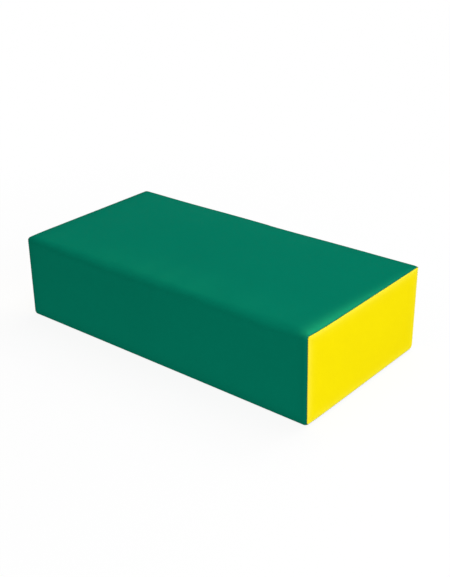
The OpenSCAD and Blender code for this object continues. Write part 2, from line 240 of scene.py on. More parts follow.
def arc(y, z, radiusY, radiusZ, start, steps):
    turn = np.radians(start + 90 * np.arange(steps + 1) / steps)
    return np.column_stack([y + radiusY * np.cos(turn), z + radiusZ * np.sin(turn)])


def between(start, end, steps):
    share = (np.arange(1, steps) / steps)[:, None]
    return np.array(start) + (np.array(end) - np.array(start)) * share


# points round the section: up the back, over the top, down the front, under the base
def sectionRing(x, depth, slitted):
    opening = foldOpening(x)
    wave = foldWave(x) * opening
    least = cover["leastFold"]
    foldEnd = cover["foldEnd"]["left" if x < 0 else "right"]
    foldY = max(foldEnd + (cover["foldWidth"] * (1 + wave) - foldEnd) * opening - depth, least)
    foldZ = max(foldEnd + (cover["foldDrop"] * (1 + wave / 2) - foldEnd) * opening - depth, least)
    back = max(cover["backFold"] - depth, least)
    base = max(cover["baseFold"] - depth, least)
    heel = max(cover["baseBackFold"] - depth, least)
    y = halfWidth - depth
    z = height - depth
    rolled = min(1.0, max(0.0, (abs(x) - rollX) / (seamX - rollX)))
    eased = (1 - cover["backTight"]) * rolled * min(depth, seamInset)
    eased *= math.exp(-max(0.0, depth - seamInset) / cover["tightReach"])
    backY = y + eased
    backZ = z + eased
    count = coverMesh
    stretches = [
        arc(backY - back, backZ - back, back, back, 0, count["crisp"]),
        between((backY - back, backZ), (foldY - y, z), count["top"]),
        arc(foldY - y, z - foldZ, foldY, foldZ, 90, count["soft"]),
        between((-y, z - foldZ), (-y, depth + base), count["front"]),
        arc(base - y, depth + base, base, base, 180, count["crisp"]),
        between((base - y, depth), (y - heel, depth), count["base"]),
        arc(y - heel, depth + heel, heel, heel, 270, count["crisp"]),
    ]
    if slitted:
        upper = zipZ + slitHalf(x) + hemSteps
        lower = zipZ - slitHalf(x) - hemSteps[::-1]
        rise = between((y, upper[-1]), (backY, backZ - back), count["back"])
        upperHem = np.column_stack([np.full(len(upper), y), upper])
        lowerHem = np.column_stack([np.full(len(lower), y), lower])
        stretches = [upperHem, rise] + stretches + [lowerHem]
    else:
        stretches.append(between((y, depth + heel), (backY, backZ - back), count["back"]))
    return np.vstack(stretches)


# the section at its place along the block, with the top's crown and the ends drawn in at the front
def raisedRing(x, depth, slitted):
    y, z = sectionRing(x, depth, slitted).T
    lost = 1 - (1 - np.minimum(1, (y / halfWidth) ** 2)) * (1 - min(1, (x / seamX) ** 4))
    z = z - cover["topCrown"] * lost * np.maximum(0, z / midZ - 1)
    pull = cover["frontPull"]
    drawn = pull["base"] + (pull["top"] - pull["base"]) * z / height
    drawn *= np.exp(-(y + halfWidth) / pull["reach"])
    drawn *= smoothStep(1 - (seamX - abs(x)) / pull["start"])
    return np.column_stack([x - math.copysign(1, x) * drawn, y, z])


def loft(path, slitted):
    return np.array([raisedRing(x, depth, slitted) for x, depth in path])


# paths in x and in depth under the skin: a point at some distance from the seam, drawn in by the stitches
def grooved(x, depth, distance):
    pull = cover["seamGroove"] * math.exp(-distance / cover["grooveReach"])
    return np.array([x - pull * math.sin(seamTurn), depth + pull * math.cos(seamTurn)])


# the stitches, and the edge of the turned-in allowance
def seamPoints():
    slope = math.radians(cover["allowanceAngle"])
    seam = grooved(seamX, seamInset, 0)
    tip = seam + cover["allowance"] * np.array([-math.cos(slope), math.sin(slope)])
    return seam, tip


def wrapPath():
    m = coverMesh
    near = rollX - m["nearReach"] * cover["foldReach"] * np.linspace(0, 1, m["nearSeam"]) ** m["nearCrowd"]
    middle = np.linspace(0, near[-1], m["middle"])
    slitEnds = slitX - cover["slitTaper"] * np.array([0, 0.5, 1])
    flat = np.unique(np.round(np.concatenate([near, middle, slitEnds]), 4))
    turns = seamTurn * (1 - np.linspace(1, 0, m["roll"])[1:] ** m["rollCrowd"])
    radius = cover["wrapRoll"]
    seam, tip = seamPoints()
    half = [(x, 0.0) for x in flat]
    for a in turns:
        rollAt = rollX + radius * math.sin(a)
        half.append(grooved(rollAt, radius * (1 - math.cos(a)), radius * (seamTurn - a)))
    half += [seam + (tip - seam) * u for u in m["allowanceSteps"]]
    return np.array([(-x, depth) for x, depth in reversed(half[1:])] + [tuple(p) for p in half])


def panelPath():
    m = coverMesh
    seam, tip = seamPoints()
    radius = cover["panelRoll"]
    turns = seamTurn + (math.pi / 2 - seamTurn) * np.linspace(0, 1, m["edge"])[1:] ** m["rollCrowd"]
    face = panelEdge + (midZ - m["heart"] - panelEdge) * np.linspace(0, 1, m["face"])[1:] ** m["faceCrowd"]
    path = [seam + (tip - seam) * u for u in reversed((0,) + m["allowanceSteps"])]
    for a in turns:
        edgeX = panelX - radius * (1 - math.sin(a))
        path.append(grooved(edgeX, panelEdge - radius * math.cos(a), radius * (a - seamTurn)))
    path += [(panelX, depth) for depth in face]
    return np.array([tuple(p) for p in path])


# the path moved to its left in the plane of x and depth, with mitred corners
def besidePath(path, distance):
    step = np.diff(path, axis=0)
    left = np.column_stack([-step[:, 1], step[:, 0]]) / np.linalg.norm(step, axis=1, keepdims=True)
    before = np.vstack([left[:1], left])
    after = np.vstack([left, left[-1:]])
    return path + distance * (before + after) / (1 + np.sum(before * after, axis=1, keepdims=True))


# shader maths
class Wire:
    def __init__(self, tree, socket=None):
        self.tree = tree
        self.socket = socket

    def node(self, kind, settings=None, inputs=None, output=0):
        made = self.tree.nodes.new(kind)
        for key, value in (settings or {}).items():
            setattr(made, key, value)
        for key, value in (inputs or {}).items():
            if isinstance(value, Wire):
                self.tree.links.new(value.socket, made.inputs[key])
            else:
                made.inputs[key].default_value = value
        return Wire(self.tree, made.outputs[output] if made.outputs else None)

    def math(self, operation, *values):
        return self.node("ShaderNodeMath", {"operation": operation}, dict(enumerate(values)))

    def __add__(self, other):
        return self.math("ADD", self, other)

    __radd__ = __add__

    def __sub__(self, other):
        return self.math("SUBTRACT", self, other)

    def __rsub__(self, other):
        return self.math("SUBTRACT", other, self)

    def __mul__(self, other):
        return self.math("MULTIPLY", self, other)

    __rmul__ = __mul__

    def other(self, output):
        return Wire(self.tree, self.socket.node.outputs[output])

    def clamped(self):
        return self.node("ShaderNodeClamp", {}, {"Value": self})

    def colour(self, low, high):
        return self.node("ShaderNodeMix", {"data_type": "RGBA"}, {0: self, 6: low, 7: high}, 2)


def startMaterial(name):
    material = bpy.data.materials.new(name)
    material.use_nodes = True
    material.node_tree.nodes.clear()
    return material, Wire(material.node_tree)


def endMaterial(wire, inputs):
    shader = wire.node("ShaderNodeBsdfPrincipled", {}, inputs)
    wire.node("ShaderNodeOutputMaterial", {}, {"Surface": shader})


def objectPlace(wire):
    return wire.node("ShaderNodeTexCoord", {}, {}, "Object")


def noise(wire, place, scale, detail=3.0, roughness=0.5):
    return wire.node("ShaderNodeTexNoise", {}, {"Vector": place, "Scale": scale, "Detail": detail,
                                               "Roughness": roughness})


def bump(wire, heightWire, strength, distance):
    return wire.node("ShaderNodeBump", {}, {"Height": heightWire, "Strength": strength,
                                            "Distance": distance})


def opaque(colour):
    return tuple(colour) + (1.0,)


def tint(colour, factor):
    return opaque(min(1.0, c * factor) for c in colour)


# coated sheet: pressed grain with painted shade in its creases, faint mottling, paler as a painted
# highlight where the per-point attribute is over 0 and darker as painted shade where it is under 0
coatedSheet = {
    "grainSize": 0.0015,
    "creaseWidth": 0.12,  # in grains
    "grainDepth": 0.0003,
    "grainStrength": 0.45,
    "mottle": 0.05,
    "broadScale": 9.0,
    "patchScale": 60.0,
    "microScale": 2600.0,
    "roughness": 0.42,
    "specular": 0.0008,
    "paintedShadeTint": 0.5,
    # each sheet's own colour, its painted highlight colour, and how dark its grain's creases are painted
    "green": {"colour": (0.0006, 0.179, 0.108), "paintedHighlight": (0.012, 0.35, 0.165), "creaseShade": 0.15},
    "yellow": {"colour": (0.99, 0.797, 0.002), "paintedHighlight": (0.99, 0.845, 0.035), "creaseShade": 0.05},
}


def coatedSheetMaterial(shadeName):
    finish = coatedSheet[shadeName]
    colour = finish["colour"]
    material, wire = startMaterial(shadeName + "Sheet")
    place = objectPlace(wire)
    rub = wire.node("ShaderNodeAttribute", {"attribute_name": "rub"}, {}, "Fac")
    broad = noise(wire, place, coatedSheet["broadScale"], 4.0, 0.55)
    patch = noise(wire, place, coatedSheet["patchScale"], 3.0, 0.6)
    micro = noise(wire, place, coatedSheet["microScale"], 2.0)
    edge = wire.node("ShaderNodeTexVoronoi", {"feature": "DISTANCE_TO_EDGE"},
                     {"Vector": place, "Scale": 1 / coatedSheet["grainSize"]}, "Distance")
    crease = (1 - edge * (1 / coatedSheet["creaseWidth"])).clamped()
    shade = (broad * 0.65 + patch * 0.35).clamped()
    plain = shade.colour(tint(colour, 1 - coatedSheet["mottle"]), tint(colour, 1 + coatedSheet["mottle"]))
    # painted highlight where the attribute is over 0, painted shade where it is under 0
    paintedHighlight = (rub * (patch * 0.6 + 0.65)).clamped()
    paintedShadeMask = (rub * (patch * -0.6 - 0.7)).clamped()
    used = paintedShadeMask.colour(paintedHighlight.colour(plain, opaque(finish["paintedHighlight"])), tint(colour, coatedSheet["paintedShadeTint"]))
    # painted shade: the colour darkens in the grain's creases
    base = (crease * finish["creaseShade"]).colour(used, (0, 0, 0, 1))
    grain = (1 - crease) * 0.75 + micro * 0.25
    endMaterial(wire, {
        "Base Color": base,
        "Roughness": coatedSheet["roughness"] + (patch - 0.5) * 0.16 + paintedHighlight * 0.12,
        "Specular IOR Level": coatedSheet["specular"],
        "Normal": bump(wire, grain, coatedSheet["grainStrength"], coatedSheet["grainDepth"]),
    })
    return material


# open-cell foam
foamLook = {
    "cellScale": 700.0,
    "cellDepth": 0.0006,
    "hollow": (0.62, 0.6, 0.52),
    "wall": (0.86, 0.84, 0.77),
}


def foamMaterial():
    material, wire = startMaterial("foamOpenCell")
    place = objectPlace(wire)
    cells = wire.node("ShaderNodeTexVoronoi", {"feature": "F1"},
                      {"Vector": place, "Scale": foamLook["cellScale"]}, "Distance")
    broad = noise(wire, place, 20.0)
    # painted shade: darker in the middle of each cell, where the bump is lowest
    shade = cells * 0.7 + broad * 0.3
    endMaterial(wire, {
        "Base Color": shade.colour(opaque(foamLook["hollow"]), opaque(foamLook["wall"])),
        "Roughness": 0.85 + broad * 0.1,
        "Specular IOR Level": 0.2,
        "Normal": bump(wire, cells, 0.6, foamLook["cellDepth"]),
    })
    return material


# bonded sewing thread, twisted
threadLook = {
    "strandScale": 700.0,
    "strandDepth": 0.0001,
    "dark": (0.001, 0.06, 0.04),
    "light": (0.004, 0.17, 0.11),
}


def threadMaterial():
    material, wire = startMaterial("sewingThread")
    place = objectPlace(wire)
    turned = wire.node("ShaderNodeMapping", {}, {"Vector": place, "Rotation": (0.6, 0.5, 0.7)})
    strands = wire.node("ShaderNodeTexWave", {"wave_type": "BANDS", "bands_direction": "DIAGONAL"},
                        {"Vector": turned, "Scale": threadLook["strandScale"], "Distortion": 1.5,
                         "Detail": 2.0}, "Fac")
    fuzz = noise(wire, place, 1800.0)
    # painted shade: the colour darkens where the strands' relief is low
    shade = strands * 0.7 + fuzz * 0.3
    endMaterial(wire, {
        "Base Color": shade.colour(opaque(threadLook["dark"]), opaque(threadLook["light"])),
        "Roughness": 0.5 + fuzz * 0.2,
        "Specular IOR Level": 0.04,
        "Normal": bump(wire, strands, 0.5, threadLook["strandDepth"]),
    })
    return material


# woven polyester tape: two sets of yarns, one over the other
tapeWeave = {
    "yarn": 0.00055,
    "depth": 0.00012,
    "under": (0.006, 0.0065, 0.007),
    "over": (0.03, 0.031, 0.033),
}


def tapeMaterial():
    material, wire = startMaterial("zipTapeWeave")
    place = objectPlace(wire)
    along = wire.node("ShaderNodeSeparateXYZ", {}, {0: place}, "X")
    turn = math.pi / tapeWeave["yarn"]
    weave = wire.math("SINE", along * turn) * wire.math("SINE", along.other("Z") * turn) * 0.5 + 0.5
    fuzz = noise(wire, place, 1500.0)
    # painted shade: the yarns that lie under are darker
    shade = weave * 0.6 + fuzz * 0.4
    endMaterial(wire, {
        "Base Color": shade.colour(opaque(tapeWeave["under"]), opaque(tapeWeave["over"])),
        "Roughness": 0.78 + fuzz * 0.15,
        "Specular IOR Level": 0.3,
        "Normal": bump(wire, weave * 0.8 + fuzz * 0.2, 0.7, tapeWeave["depth"]),
    })
    return material


# moulded acetal teeth
toothLook = {"dark": (0.010, 0.011, 0.012), "light": (0.024, 0.025, 0.027), "fineDepth": 0.00005}


def toothMaterial():
    material, wire = startMaterial("zipToothPlastic")
    place = objectPlace(wire)
    fine = noise(wire, place, 3000.0)
    broad = noise(wire, place, 150.0)
    endMaterial(wire, {
        "Base Color": broad.colour(opaque(toothLook["dark"]), opaque(toothLook["light"])),
        "Roughness": 0.33 + broad * 0.14,
        "Normal": bump(wire, fine, 0.12, toothLook["fineDepth"]),
    })
    return material


# nickel-plated die casting, scuffed by use
nickelLook = {"dull": (0.52, 0.51, 0.48), "bright": (0.68, 0.67, 0.64), "scratchDepth": 0.00005}


def nickelMaterial():
    material, wire = startMaterial("zipNickel")
    place = objectPlace(wire)
    stretched = wire.node("ShaderNodeMapping", {}, {"Vector": place, "Scale": (180.0, 2600.0, 2600.0)})
    scratch = noise(wire, stretched, 1.0, 4.0, 0.7)
    cast = noise(wire, place, 1200.0)
    broad = noise(wire, place, 220.0)
    endMaterial(wire, {
        "Base Color": broad.colour(opaque(nickelLook["dull"]), opaque(nickelLook["bright"])),
        "Metallic": 1.0,
        "Roughness": 0.2 + scratch * 0.2 + broad * 0.08,
        "Normal": bump(wire, scratch * 0.6 + cast * 0.4, 0.15, nickelLook["scratchDepth"]),
    })
    return material


greenSheet = coatedSheetMaterial("green")
yellowSheet = coatedSheetMaterial("yellow")
foamOpenCell = foamMaterial()
sewingThread = threadMaterial()
zipTapeWeave = tapeMaterial()
zipToothPlastic = toothMaterial()
zipNickel = nickelMaterial()
print("materials made")


def finishPiece(piece, material, body, slot, *nodes):
    piece.data.materials.clear()
    piece.data.materials.append(material)
    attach(piece, body)
    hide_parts(*nodes)


# the foam swells the cover between its seams: a coarse cloth, held along its edges and pressed from inside
settling = {
    "step": 0.009,
    "frames": 20,
    "pressure": 4.0,
    "stiffness": 30.0,
    "bending": 2.0,
    "quality": 6,
    "wrapSwell": 0.0015,
    "lowest": 0.002,
}


def settledCloth(name, points, held, mostRise):
    rows, columns = points.shape[:2]
    faces = [(i * columns + j, i * columns + j + 1, (i + 1) * columns + j + 1, (i + 1) * columns + j)
             for i in range(rows - 1) for j in range(columns - 1)]
    piece = meshObject(name, points.reshape(-1, 3), faces)
    group = piece.vertex_groups.new(name="held")
    group.add(np.flatnonzero(held).tolist(), 1.0, "REPLACE")
    cloth = piece.modifiers.new("settle", "CLOTH")
    cloth.collision_settings.use_collision = False
    cloth.point_cache.frame_end = settling["frames"]
    given = cloth.settings
    given.vertex_group_mass = "held"
    given.quality = settling["quality"]
    given.use_pressure = True
    given.uniform_pressure_force = settling["pressure"]
    given.effector_weights.gravity = 0
    given.tension_stiffness = given.compression_stiffness = given.shear_stiffness = settling["stiffness"]
    given.bending_stiffness = settling["bending"]
    scene = bpy.context.scene
    for step in range(1, settling["frames"] + 1):
        scene.frame_set(step)
    evaluated = piece.evaluated_get(bpy.context.evaluated_depsgraph_get())
    moved = np.zeros(points.size, np.float32)
    evaluated.data.vertices.foreach_get("co", moved)
    rise = np.sum((moved.reshape(points.shape) - points) * gridNormals(points), axis=2)
    scene.frame_set(1)
    bpy.data.objects.remove(piece)
    print(name, rows, "x", columns, "points rose", rise.max(), "m, kept to", mostRise)
    return rise * min(1.0, mostRise / rise.max())


# values on a grid of places, read at other places
def readGrid(rowPlaces, columnPlaces, values, rowsAt, columnsAt):
    row = np.interp(rowsAt, rowPlaces, np.arange(len(rowPlaces)))
    column = np.interp(columnsAt, columnPlaces, np.arange(len(columnPlaces)))
    i = np.minimum(row.astype(int), len(rowPlaces) - 2)
    j = np.minimum(column.astype(int), len(columnPlaces) - 2)
    u, v = row - i, column - j
    low = values[i, j] * (1 - v) + values[i, j + 1] * v
    high = values[i + 1, j] * (1 - v) + values[i + 1, j + 1] * v
    return low * (1 - u) + high * u


def wrapSwell(path, girth):
    rowPlaces = np.linspace(-rollX, rollX, round(2 * rollX / settling["step"]))
    columnPlaces = np.linspace(0, girth[-1], round(girth[-1] / settling["step"]))
    rings = np.array([raisedRing(x, 0, True) for x in rowPlaces])
    axes = [[np.interp(columnPlaces, girth, ring[:, k]) for ring in rings] for k in range(3)]
    points = np.stack(axes, axis=2)
    held = points[:, :, 2] < settling["lowest"]
    held[[0, -1], :] = True
    held[:, [0, -1]] = True
    rise = settledCloth("wrapSettle", points, held, settling["wrapSwell"])
    return readGrid(rowPlaces, columnPlaces, rise, path[:, :1], girth[None, :])


# the green sheet round the long faces
wrapDetail = {
    "pucker": {"height": 0.00022, "wave": (0.0044, 1.9, 0.021), "least": 0.2, "group": 0.037, "phase": 1,
               "reach": 0.014, "start": 0.0025, "endShift": 0.07},
    "swell": {"height": 0.00045, "along": 0.083, "alongPhase": 0.4, "round": 0.061, "roundPhase": 0.9,
              "slant": 0.6, "slantAlong": 0.041, "slantRound": 0.09, "slantPhase": 2.2,
              "seamReach": 0.04, "baseReach": 0.03},
    "lump": {"height": 0.0015, "drop": 0.003, "width": 0.009, "wave": (0.0095, 1.4, 0.031), "least": 0.5,
             "group": 0.083, "phase": 0.4, "seamReach": 0.03},
    "hem": {"rise": 0.0005, "width": 0.011, "slope": 0.0025, "edge": 0.0007, "backDepth": 0.004,
            "fade": 0.008},
    "ripple": {"height": 0.00012, "wave": (0.0036, 0.5, 0.017), "middle": 0.006, "width": 0.005},
    "stitchLine": 0.003,
    "stitchGroove": {"depth": 0.00022, "width": 0.0007},
    # painted highlights beside the right seam and the fold's crest, painted shade along the other edges
    "crestHighlight": {"share": 0.14, "back": 0.05, "front": 0.012, "length": 0.17, "least": 0.3,
                 "wave": (0.0112, 1.3, 0.037), "patchLeast": 0.64},
    "seamHighlight": {"back": 0.008, "front": 0.015, "least": 0.15},
    "edgeShade": {"base": 0.85, "back": 0.6, "left": 0.8, "front": 0.4},
    "edgeShadeReach": {"base": 0.006, "back": 0.006, "left": 0.006, "front": 0.007},
}


# puckers drawn in by an end seam, in groups along it
def puckers(v, d):
    group = varied(d["least"], np.sin(v / d["group"] + d["phase"]))
    return d["height"] * unevenWave(v, *d["wave"]) * group


# slow unevenness of sheet over foam
def wrapUneven(x, v, z, seamGap):
    d = wrapDetail["swell"]
    swell = np.sin(x / d["along"] + d["alongPhase"]) * np.sin(v / d["round"] + d["roundPhase"])
    swell += d["slant"] * np.sin(x / d["slantAlong"] + d["slantPhase"] + v / d["slantRound"])
    return d["height"] * swell * fadeIn(seamGap, d["seamReach"]) * np.clip(z / d["baseReach"], 0, 1)


# a soft lumpy ridge where the front fold ends
def foldRidge(x, y, z, seamGap):
    d = wrapDetail["lump"]
    lump = varied(d["least"], unevenWave(x, *d["wave"]) * np.cos(x / d["group"] + d["phase"]))
    below = height - cover["foldDrop"] - d["drop"] - z
    forward = smoothStep((-y - halfWidth + cover["foldWidth"]) / cover["foldWidth"])
    return d["height"] * lump * bell(below, d["width"]) * forward * fadeIn(seamGap, d["seamReach"])


# turned hem beside the zip, with its rounded edge, its ripples and its stitch line
def zipHem(x, y, z, path):
    d = wrapDetail["hem"]
    r = wrapDetail["ripple"]
    g = wrapDetail["stitchGroove"]
    onBack = y > halfWidth - d["backDepth"]
    slit = np.array([slitHalf(s) for s in path[:, 0]])[:, None]
    gap = np.maximum(np.where(onBack, np.abs(z - zipZ) - slit, 1.0), 0)
    beside = np.clip((slitX + d["fade"] - np.abs(x)) / d["fade"], 0, 1)
    hem = d["rise"] * smoothStep((d["width"] + d["slope"] - gap) / d["slope"])
    ripple = r["height"] * unevenWave(x, *r["wave"]) * bell(gap - r["middle"], r["width"])
    groove = g["depth"] * bell(gap - wrapDetail["stitchLine"], g["width"])
    edge = np.clip(d["edge"] - gap, 0, None) ** 2 / d["edge"]
    return (hem + ripple - groove) * beside - edge


def wrapShift(grid, path, girth):
    p = wrapDetail["pucker"]
    x, y, z = grid[:, :, 0], grid[:, :, 1], grid[:, :, 2]
    seamGap = np.maximum(0, seamX - np.abs(x))
    v = girth[None, :] + p["endShift"] * (x > 0)
    pucker = puckers(v, p) * np.exp(-seamGap / p["reach"]) * fadeIn(seamGap, p["start"])
    return pucker + wrapUneven(x, v, z, seamGap) + foldRidge(x, y, z, seamGap) + zipHem(x, y, z, path)


# painted highlight: the top is paler beside the right end's seam, most at the front corner
def seamHighlight(grid):
    d = wrapDetail["seamHighlight"]
    x, y, z = grid[:, :, 0], grid[:, :, 1], grid[:, :, 2]
    forward = smoothStep(0.5 - y / (2 * halfWidth))
    reach = d["back"] + (d["front"] - d["back"]) * forward
    share = d["least"] + (1 - d["least"]) * forward
    onTop = smoothStep((z - height + cover["foldDrop"]) / cover["foldDrop"])
    return share * bell(np.maximum(0, seamX - x), reach) * onTop


# painted highlight too behind the soft fold, most in the middle of its length
def crestHighlight(grid):
    d = wrapDetail["crestHighlight"]
    x, y, z = grid[:, :, 0], grid[:, :, 1], grid[:, :, 2]
    along = d["least"] + (1 - d["least"]) * bell(x, d["length"])
    patches = along * varied(d["patchLeast"], unevenWave(x, *d["wave"]))
    behind = y + halfWidth - cover["foldWidth"]
    reach = np.where(behind > 0, d["back"], d["front"])
    return d["share"] * patches * bell(behind, reach) * (z > height - cover["foldDrop"])


# painted shade: the other edges are a little darker
def paintedEdgeShade(grid):
    x, y, z = grid[:, :, 0], grid[:, :, 1], grid[:, :, 2]
    gaps = {
        "base": z,
        "back": halfWidth - y + height - z,
        "left": seamX + x,
        "front": seamX - x + np.maximum(0, y + halfWidth - cover["leastFold"]),
    }
    share, reach = wrapDetail["edgeShade"], wrapDetail["edgeShadeReach"]
    return np.max([share[k] * np.exp(-np.maximum(0, gap) / reach[k]) for k, gap in gaps.items()], axis=0)


def makeWrap():
    path = wrapPath()
    grid = loft(path, True)
    normals = gridNormals(grid)
    girth = runLength(grid[len(path) // 2])
    run = runLength(path)
    inner = grid - normals * cover["thickness"]
    onSkin = path[:, 1] < seamPoints()[0][1] - coverMesh["tiny"]
    shift = wrapShift(grid, path, girth) + wrapSwell(path, girth)
    outer = grid + normals * (shift * onSkin[:, None])[:, :, None]
    # painted light in the colour: paler as a highlight over 0, darker as shade under 0
    rub = (seamHighlight(grid) + crestHighlight(grid) - paintedEdgeShade(grid)).ravel()
    uv = np.stack(np.broadcast_arrays(run[:, None], girth[None, :]), axis=2).reshape(-1, 2)
    piece = meshObject("coverWrap", np.concatenate([outer.reshape(-1, 3), inner.reshape(-1, 3)]),
                       sheetFaces(*grid.shape[:2]), np.tile(uv, (2, 1)), np.tile(rub, 2))
    finishPiece(piece, greenSheet, "block", "green_sheet", "wrap_sheet")
    print("wrap:", len(piece.data.polygons), "faces, cut", round(run[-1], 3), "x", round(girth[-1], 3))


# a yellow panel in each end
panelDetail = {
    "pucker": {"height": 0.00018, "wave": (0.0041, 1.7, 0.019), "least": 0.2, "group": 0.033, "phase": 0,
               "reach": 0.011, "endShift": 0.05},
    "swell": {"height": 0.00035, "across": 0.047, "acrossPhase": 0.5, "up": 0.029, "upPhase": 0.8,
              "reach": 0.02},
    # reach of the painted highlight by the seam
    "highlightReach": 0.004,
}


def panelSwell():
    up = np.linspace(panelEdge, height - panelEdge, round(height / settling["step"]))
    half = halfWidth - panelEdge
    across = np.linspace(-half, half, round(2 * halfWidth / settling["step"]))
    points = np.stack(np.broadcast_arrays(panelX, across[None, :], up[:, None]), axis=2)
    held = np.ones(points.shape[:2], bool)
    held[1:-1, 1:-1] = False
    return up, across, settledCloth("panelSettle", points, held, cover["endCrown"])


crownGrid = panelSwell()


def makePanel(name, side, node):
    path = panelPath() * np.array([side, 1])
    grid = loft(path, False)
    y, z = grid[:, :, 1], grid[:, :, 2]
    seamRow = len(coverMesh["allowanceSteps"])
    onFace = np.arange(len(path)) >= seamRow + coverMesh["edge"] - 1
    grid[:, :, 0] += side * readGrid(*crownGrid, z, y) * onFace[:, None]
    normals = gridNormals(grid, closed=True) * side
    inner = grid - normals * cover["thickness"]
    inset = np.maximum(0, path[:, 1] - panelEdge)[:, None]
    p = panelDetail["pucker"]
    s = panelDetail["swell"]
    v = runLength(grid[seamRow])[None, :] + p["endShift"] * side
    pucker = puckers(v, p) * np.exp(-inset / p["reach"])
    swell = np.sin(y / s["across"] + s["acrossPhase"] * side) * np.sin(z / s["up"] + s["upPhase"])
    shift = pucker + s["height"] * swell * fadeIn(inset, s["reach"])
    outer = grid + normals * (shift * onFace[:, None])[:, :, None]
    # painted highlight: the panel's colour is paler towards its seam
    rub = np.repeat(np.exp(-inset[:, 0] / panelDetail["highlightReach"]), grid.shape[1])
    points = np.concatenate([outer.reshape(-1, 3), inner.reshape(-1, 3)])
    faces = sheetFaces(*grid.shape[:2], closed=True, capped=True)
    if side < 0:
        faces = [tuple(reversed(f)) for f in faces]
    piece = meshObject(name, points, faces, points[:, 1:], np.tile(rub, 2))
    finishPiece(piece, yellowSheet, "block", "yellow_sheet", node)


# foam cut to the inside of the cover, hollowed behind the zip
foamForm = {
    "play": 0.0003,
    "seamRoom": 0.0026,
    "reliefDepth": 0.0048,
    "reliefHalf": 0.0195,
    "reliefOver": 0.001,
}


# the path inside a skin, with the fine steps beside the seams left out
def foamPath(path):
    seam = seamPoints()[0]
    gap = np.linalg.norm(np.abs(path) - seam, axis=1)
    coarse = path[(gap > foamForm["seamRoom"]) | (gap < coverMesh["tiny"])]
    return besidePath(coarse, cover["thickness"] + foamForm["play"])


def makeFoam():
    panelInner = foamPath(panelPath())
    wrapInner = foamPath(wrapPath())
    mirrored = panelInner[::-1] * np.array([-1, 1])
    path = np.vstack([mirrored, wrapInner, panelInner])
    grid = loft(path, False)
    rows, columns = grid.shape[:2]
    faces = [(i * columns + j, i * columns + (j + 1) % columns, (i + 1) * columns + (j + 1) % columns,
              (i + 1) * columns + j) for i in range(rows - 1) for j in range(columns)]
    faces.append(tuple(reversed(range(columns))))
    faces.append(tuple((rows - 1) * columns + j for j in range(columns)))
    piece = meshObject("foamFill", grid.reshape(-1, 3), faces)
    reliefX = slitX + cover["tapeOver"] + foamForm["reliefOver"]
    reliefHalf = (reliefX, foamForm["reliefDepth"], foamForm["reliefHalf"])
    cutter = linkObject("zipRelief", bpy.data.meshes.new("zipRelief"))
    shape = bmesh.new()
    bmesh.ops.create_cube(shape, size=2)
    bmesh.ops.scale(shape, vec=reliefHalf, verts=shape.verts)
    bmesh.ops.translate(shape, vec=(0, tapeY, zipZ), verts=shape.verts)
    shape.to_mesh(cutter.data)
    shape.free()
    hollow = piece.modifiers.new("hollow", "BOOLEAN")
    hollow.operation = "DIFFERENCE"
    hollow.object = cutter
    applyModifiers(piece)
    bpy.data.objects.remove(cutter)
    setSmooth(piece.data)
    finishPiece(piece, foamOpenCell, "block", "foam", "foam_core")
    print("foam:", len(piece.data.polygons), "faces")


makeWrap()
makePanel("endPanelRight", 1, "end_panel_right")
makePanel("endPanelLeft", -1, "end_panel_left")
makeFoam()


# geometry node trees, their inputs set by name through the sockets' identifiers
def startTree(name, sockets):
    tree = bpy.data.node_groups.new(name, "GeometryNodeTree")
    for label, kind in sockets.items():
        tree.interface.new_socket(label, in_out="INPUT", socket_type="NodeSocket" + kind)
    tree.interface.new_socket("Result", in_out="OUTPUT", socket_type="NodeSocketGeometry")
    return tree, Wire(tree).node("NodeGroupInput")


def endTree(instances, material):
    real = instances.node("GeometryNodeRealizeInstances", {}, {0: instances})
    dressed = real.node("GeometryNodeSetMaterial", {}, {"Geometry": real, "Material": material})
    dressed.node("NodeGroupOutput", {}, {0: dressed})


def runTree(piece, tree, values):
    modifier = piece.modifiers.new(tree.name, "NODES")
    modifier.node_group = tree
    for item in tree.interface.items_tree:
        if item.name in values:
            modifier[item.identifier] = values[item.name]
    applyModifiers(piece)
    setSmooth(piece.data)


# sewn rows: a stitch at every step along a path, its tangent leaned by a share of another direction
def stitchTree():
    tree, given = startTree("stitchRow", {
        "Path": "Geometry", "Pitch": "Float", "Length": "Float", "Width": "Float",
        "Lean": "Float", "Across": "Vector", "Thread": "Material",
    })
    curve = given.node("GeometryNodeMeshToCurve", {}, {0: given.other("Path")})
    points = given.node("GeometryNodeCurveToPoints", {"mode": "LENGTH"},
                        {"Curve": curve, "Length": given.other("Pitch")})
    lean = given.node("ShaderNodeVectorMath", {"operation": "SCALE"},
                      {0: given.other("Across"), "Scale": given.other("Lean")})
    aim = given.node("ShaderNodeVectorMath", {"operation": "ADD"}, {0: points.other("Tangent"), 1: lean})
    turn = given.node("FunctionNodeAlignRotationToVector", {"axis": "Z"}, {"Vector": aim})
    size = given.node("ShaderNodeCombineXYZ", {}, {
        "X": given.other("Width"), "Y": given.other("Width"), "Z": given.other("Length")})
    bead = given.node("GeometryNodeMeshUVSphere", {}, {"Segments": 6, "Rings": 5, "Radius": 0.5})
    row = given.node("GeometryNodeInstanceOnPoints", {}, {
        "Points": points, "Instance": bead, "Rotation": turn, "Scale": size})
    endTree(row, given.other("Thread"))
    return tree


